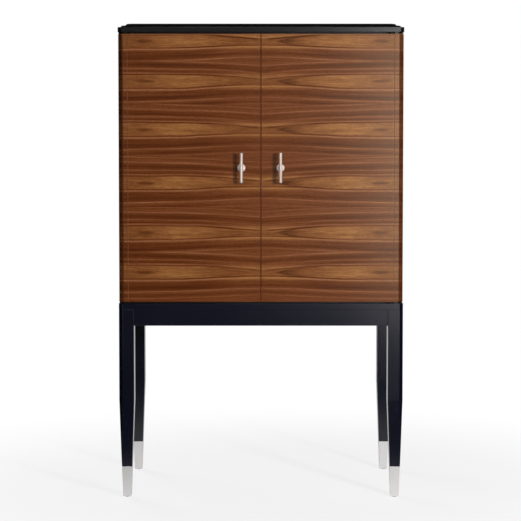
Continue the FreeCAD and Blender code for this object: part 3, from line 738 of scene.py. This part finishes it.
def dress_nodes():
    """Gives every CAD node the finish of its slot."""
    finishes = {
        "walnut_veneer": book_matched_walnut(),
        "walnut_interior": plain_walnut(),
        "black_lacquer": black_lacquer(),
        "satin_nickel": satin_nickel(),
        "hinge_metal": hinge_metal(),
        "hinge_bronze": hinge_bronze(),
        "back_board": stained_ply(),
        "plain_timber": beech(),
        "glide_plastic": moulded(
            "glide_nylon", rgba(0.010, 0.010, 0.010), rgba(0.025, 0.025, 0.025)),
        "catch_plastic": moulded(
            "catch_case", rgba(0.030, 0.015, 0.010), rgba(0.055, 0.030, 0.022)),
        "mirror_glass": mirror_glass(),
        "clear_glass": clear_glass(),
    }
    for subpart in frame["record"]["subparts"]:
        mesh = nodes[subpart["node"]].data
        mesh.materials.clear()
        mesh.materials.append(finishes[subpart["material_slot"]])
    return finishes


def dress(piece, name, body, slot):
    """Finishes a new piece: its name, the body that it rides on and its slot."""
    settle(piece)
    piece.name = name
    piece.data.materials.clear()
    piece.data.materials.append(finishes[slot])
    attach(piece, body)


# Hardware modelled by hand: each form is made once, standing on the origin and pointing up

def deselect():
    bpy.ops.object.select_all(action="DESELECT")


def choose(*pieces):
    """Selects these pieces alone and makes the first of them active."""
    deselect()
    for piece in pieces:
        piece.select_set(True)
    bpy.context.view_layer.objects.active = pieces[0]


def discard(form):
    choose(form)
    bpy.ops.object.delete()


def settle(piece):
    """Puts a piece's place into its mesh and smooths its rounded faces."""
    choose(piece)
    bpy.ops.object.transform_apply(location=True, rotation=True, scale=True)
    bpy.ops.object.shade_smooth_by_angle(angle=SMOOTH_ANGLE)


def spread(low, high, count):
    """Even steps from one value to another, both included."""
    return [low + (high - low) * step / (count - 1) for step in range(count)]


def pointing(direction):
    """The rotation that turns an upright form along a direction."""
    return Vector(direction).to_track_quat("Z", "X").to_euler()


def upright_cylinder(radius, height, sides):
    deselect()
    bpy.ops.mesh.primitive_cylinder_add(vertices=sides, radius=radius, depth=height,
                                        location=(0, 0, height / 2))
    cylinder = bpy.context.object
    settle(cylinder)
    return cylinder


def pick(piece, kind, chosen):
    """Selects the faces or edges of a piece in edit mode whose corners pass a test."""
    bpy.ops.mesh.select_mode(type=kind)
    bpy.ops.mesh.select_all(action="DESELECT")
    shape = bmesh.from_edit_mesh(piece.data)
    for part in shape.faces if kind == "FACE" else shape.edges:
        part.select_set(chosen([corner.co for corner in part.verts]))
    shape.select_flush_mode()
    bmesh.update_edit_mesh(piece.data)


def level_at(height):
    """A test for corners that all lie at one height."""
    return lambda corners: all(abs(corner.z - height) < RIM_TOLERANCE for corner in corners)


def round_rims(piece, heights, size, segments):
    """Rounds the rims that lie at given heights."""
    rims = [level_at(height) for height in heights]
    bpy.ops.object.mode_set(mode="EDIT")
    pick(piece, "EDGE", lambda corners: any(rim(corners) for rim in rims))
    bpy.ops.mesh.bevel(offset=size, segments=segments, affect="EDGES")
    bpy.ops.object.mode_set(mode="OBJECT")


def step_up(piece, height, inset, rise):
    """Insets the face at a height and pulls it up."""
    bpy.ops.object.mode_set(mode="EDIT")
    pick(piece, "FACE", level_at(height))
    bpy.ops.mesh.inset(thickness=inset)
    bpy.ops.mesh.extrude_region_move(TRANSFORM_OT_translate={"value": (0, 0, rise)})
    bpy.ops.object.mode_set(mode="OBJECT")


def turn_up(piece, profile):
    """Raises the top face ring by ring through a profile of radii and heights that starts at it."""
    bpy.ops.object.mode_set(mode="EDIT")
    pick(piece, "FACE", level_at(profile[0][1]))
    for (wide, low), (narrow, high) in zip(profile, profile[1:]):
        bpy.ops.mesh.extrude_region_move(TRANSFORM_OT_translate={"value": (0, 0, high - low)})
        shrink = narrow / wide
        bpy.ops.transform.resize(value=(shrink, shrink, 1.0), center_override=(0, 0, 0))
    bpy.ops.object.mode_set(mode="OBJECT")


def scatter(name, form, places, direction, body, slot):
    """One piece of many copies of a form, all pointing one way and riding on one body."""
    copies = []
    for place in places:
        choose(form)
        bpy.ops.object.duplicate(linked=False)
        copied = bpy.context.object
        copied.location = place
        copied.rotation_euler = pointing(direction)
        copies.append(copied)
    choose(*copies)
    if len(copies) > 1:
        bpy.ops.object.join()
    dress(copies[0], name, body, slot)


# Pulls

def pull_bar(side):
    """A turned bar with rounded ends."""
    low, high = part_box(f"{side}_pull_bar")
    radius = (high.x - low.x) / 2
    bar = upright_cylinder(radius, high.z - low.z, TURNED_SIDES)
    round_rims(bar, [0.0, high.z - low.z], radius * PULL_ROUNDING, segments=5)
    bar.location = ((low.x + high.x) / 2, (low.y + high.y) / 2, low.z)
    dress(bar, f"{side}_turned_pull", f"{side}_door", "satin_nickel")
    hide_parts(f"{side}_pull_bar")


def rose_profile(radius):
    """Radii and heights from the rim, over its rounding and the dome, to the collar's seat."""
    middle = radius - ROSE_SHOULDER
    meeting = math.radians(ROSE_SLOPE)
    sphere = (middle + ROSE_SHOULDER * math.sin(meeting)) / math.sin(meeting)
    shoulder = [(middle + ROSE_SHOULDER * math.sin(slope), ROSE_SHOULDER * math.cos(slope))
                for slope in spread(math.radians(90.0), meeting, SHOULDER_RINGS)]
    lift = shoulder[-1][1] - sphere * math.cos(meeting)
    dome = [(sphere * math.sin(slope), sphere * math.cos(slope) + lift)
            for slope in spread(meeting, math.asin(ROSE_FLAT / sphere), DOME_RINGS)]
    profile = shoulder + dome[1:]
    rim = ROSE_HEIGHT - profile[-1][1]
    return [(across, height + rim) for across, height in profile]


def pull_rose(side):
    """A domed round rose that steps up through a collar to the post."""
    low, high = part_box(f"{side}_pull_post")
    radius = (high.x - low.x) / 2
    collar_top = ROSE_HEIGHT + COLLAR_HEIGHT
    profile = rose_profile(radius)
    rose = upright_cylinder(radius, profile[0][1], TURNED_SIDES)
    turn_up(rose, profile)
    step_up(rose, ROSE_HEIGHT, ROSE_FLAT - COLLAR_RADIUS, COLLAR_HEIGHT)
    step_up(rose, collar_top, COLLAR_RADIUS - POST_RADIUS, high.y - low.y - collar_top)
    round_rims(rose, [collar_top], COLLAR_ROUNDING, segments=3)
    rose.location = ((low.x + high.x) / 2, high.y, (low.z + high.z) / 2)
    rose.rotation_euler = pointing((0, -1, 0))
    dress(rose, f"{side}_turned_rose", f"{side}_door", "satin_nickel")
    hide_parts(f"{side}_pull_post")


# Screws and bolts

def cross_head(radius, height, recess):
    """A screw head with a cross cut into its top."""
    head = upright_cylinder(radius, height, HEAD_SIDES)
    round_rims(head, [height], min(radius, height) * HEAD_ROUNDING, segments=3)
    for turn in (0.0, math.pi / 2):
        deselect()
        bpy.ops.mesh.primitive_cube_add(size=1.0, location=(0, 0, height))
        slit = bpy.context.object
        slit.scale = (radius * SLIT_LENGTH, radius * SLIT_WIDTH, recess * 2)
        slit.rotation_euler = (0, 0, turn)
        settle(slit)
        choose(head)
        cutter = head.modifiers.new("slit", "BOOLEAN")
        cutter.operation = "DIFFERENCE"
        cutter.object = slit
        bpy.ops.object.modifier_apply(modifier=cutter.name)
        discard(slit)
    return head


def hex_bolt():
    """A hexagon head on a washer."""
    washer = upright_cylinder(*BOLT_WASHER, WASHER_SIDES)
    washer_top = BOLT_WASHER[1]
    round_rims(washer, [washer_top], washer_top * WASHER_ROUNDING, segments=2)
    head = upright_cylinder(*BOLT_HEAD, BOLT_SIDES)
    head_top = BOLT_HEAD[1]
    round_rims(head, [head_top], head_top * BOLT_ROUNDING, segments=2)
    head.location.z = washer_top
    choose(washer, head)
    bpy.ops.object.join()
    return washer


def back_screws():
    low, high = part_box("back_panel")
    left, right = low.x + BACK_SCREW_INSET, high.x - BACK_SCREW_INSET
    bottom, top = low.z + BACK_SCREW_INSET, high.z - BACK_SCREW_INSET
    heights = spread(bottom, top, BACK_SCREWS_IN_ROW)
    between = spread(left, right, BACK_SCREWS_IN_ROW)[1:-1]
    places = [(x, high.y, z) for x in (left, right) for z in heights]
    places += [(x, high.y, z) for x in between for z in (bottom, top)]
    form = cross_head(*BACK_SCREW)
    scatter("back_panel_screws", form, places, (0, 1, 0), "cabinet", "hinge_metal")
    discard(form)


def leaf_hinge_screws():
    """Countersunk heads, just proud of the plates that close on each other."""
    low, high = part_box("leaf_hinge_fixed_plates")
    half = (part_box("leaf_hinge_pins")[1].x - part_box("leaf_hinge_pins")[0].x) / 2
    shelf_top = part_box("bar_shelf")[1].z
    leaf_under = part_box("fold_out_leaf")[0].z
    places = [(x + step, high.y - inset) for x in (-half + HINGE_HALF, 0.0, half - HINGE_HALF)
              for step, inset in HINGE_SCREWS]
    form = cross_head(*HINGE_SCREW)
    sink = HINGE_SCREW[1] - HINGE_SCREW_PROUD
    on_shelf = [(x, y, shelf_top - sink) for x, y in places]
    on_leaf = [(x, y, leaf_under + sink) for x, y in places]
    scatter("leaf_hinge_shelf_screws", form, on_shelf, (0, 0, 1), "cabinet", "hinge_metal")
    scatter("leaf_hinge_leaf_screws", form, on_leaf, (0, 0, -1), "leaf", "hinge_metal")
    discard(form)


def cleat_screws():
    form = cross_head(*CLEAT_SCREW)
    for side, sign in SIDES.items():
        low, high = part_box(f"{side}_leaf_cleat")
        face = low.x if sign > 0 else high.x
        depths = spread(low.y + CLEAT_SCREW_INSET, high.y - CLEAT_SCREW_INSET, CLEAT_SCREWS)
        places = [(face, y, (low.z + high.z) / 2) for y in depths]
        scatter(f"{side}_cleat_screws", form, places, (-sign, 0, 0), "cabinet", "hinge_metal")
    discard(form)


def pull_screws():
    form = cross_head(*PULL_SCREW)
    for side in SIDES:
        low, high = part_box(f"{side}_pull_post")
        place = ((low.x + high.x) / 2, DOOR_BACK, (low.z + high.z) / 2)
        scatter(f"{side}_pull_screw", form, [place], (0, 1, 0), f"{side}_door", "hinge_metal")
    discard(form)


def strike_screws():
    form = cross_head(*STRIKE_SCREW)
    for side in SIDES:
        low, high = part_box(f"{side}_strike_plate")
        places = [(x, high.y - STRIKE_SCREW_SINK, (low.z + high.z) / 2)
                  for x in (low.x + STRIKE_SCREW_INSET, high.x - STRIKE_SCREW_INSET)]
        scatter(f"{side}_strike_screws", form, places, (0, 1, 0), f"{side}_door", "hinge_metal")
    discard(form)


def case_bolts():
    low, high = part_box("corner_blocks")
    form = hex_bolt()
    places = [(x, y, low.z) for x in (low.x + BLOCK_MIDDLE, high.x - BLOCK_MIDDLE)
              for y in (low.y + BLOCK_MIDDLE, high.y - BLOCK_MIDDLE)]
    scatter("case_bolts", form, places, (0, 0, -1), "cabinet", "hinge_metal")
    discard(form)


# Strips and edges

def planed_strip(low, high, round_over, shown):
    """A strip between two corners, rounded along the edges whose ends pass a test."""
    deselect()
    bpy.ops.mesh.primitive_cube_add(size=1.0, location=(low + high) / 2)
    strip = bpy.context.object
    strip.scale = high - low
    settle(strip)
    bpy.ops.object.mode_set(mode="EDIT")
    pick(strip, "EDGE", lambda corners: all(shown(corner) for corner in corners))
    bpy.ops.mesh.bevel(offset=round_over, segments=3, affect="EDGES")
    bpy.ops.object.mode_set(mode="OBJECT")
    return strip


def mirror_strip():
    """A thin walnut strip over the joint of the two mirror panes, opposite the seam of the doors."""
    low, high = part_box("mirror_panel")
    strip = planed_strip(Vector((-STRIP_WIDTH / 2, low.y - STRIP_THICKNESS, low.z)),
                         Vector((STRIP_WIDTH / 2, low.y, high.z)),
                         STRIP_THICKNESS * STRIP_ROUNDING,
                         lambda corner: corner.y < low.y - STRIP_THICKNESS / 2)
    dress(strip, "mirror_joint_strip", "cabinet", "walnut_interior")


def gap_strips():
    """Strips that close the gaps along the sides, under the top and over the stand, where the walnut
    is painted black as shade.
    """
    levels = (("upper", DOOR_TOP, side_high.z), ("lower", side_low.z, DOOR_BOTTOM))
    for side, sign in SIDES.items():
        outer = sign * (side_high.x - GAP_STRIP_SETBACK)
        inner = sign * (side_high.x - SHADOW_DEPTH)
        for name, bottom, top in levels:
            strip = planed_strip(Vector((min(outer, inner), CANT_END + SHADOW_DEPTH, bottom)),
                                 Vector((max(outer, inner), side_high.y, top)),
                                 GAP_STRIP_ROUNDING,
                                 lambda corner: abs(corner.x) > abs(outer) - RIM_TOLERANCE)
            dress(strip, f"{side}_{name}_gap_strip", "cabinet", "walnut_veneer")


def ease_edges(name, width):
    """Joins a node's loose triangles and rounds its sharp edges a little, to catch the light."""
    weld = nodes[name].modifiers.new("weld", "WELD")
    weld.merge_threshold = WELD_DISTANCE
    whole = nodes[name].modifiers.new("whole", "DECIMATE")
    whole.decimate_type = "DISSOLVE"
    whole.angle_limit = FLAT_ANGLE
    ease = nodes[name].modifiers.new("ease", "BEVEL")
    ease.width = width
    ease.segments = 2
    ease.limit_method = "ANGLE"
    ease.angle_limit = SHARP_ANGLE
    ease.harden_normals = True


bpy.context.scene.view_settings.view_transform = "Standard"
deselect()
studio_world()
pale_floor()
studio_lamps()
photo_camera()
finishes = dress_nodes()
for side in SIDES:
    pull_bar(side)
    pull_rose(side)
back_screws()
leaf_hinge_screws()
cleat_screws()
pull_screws()
strike_screws()
case_bolts()
mirror_strip()
gap_strips()
for width, names in EASED_EDGES:
    for name in names:
        ease_edges(name, width)
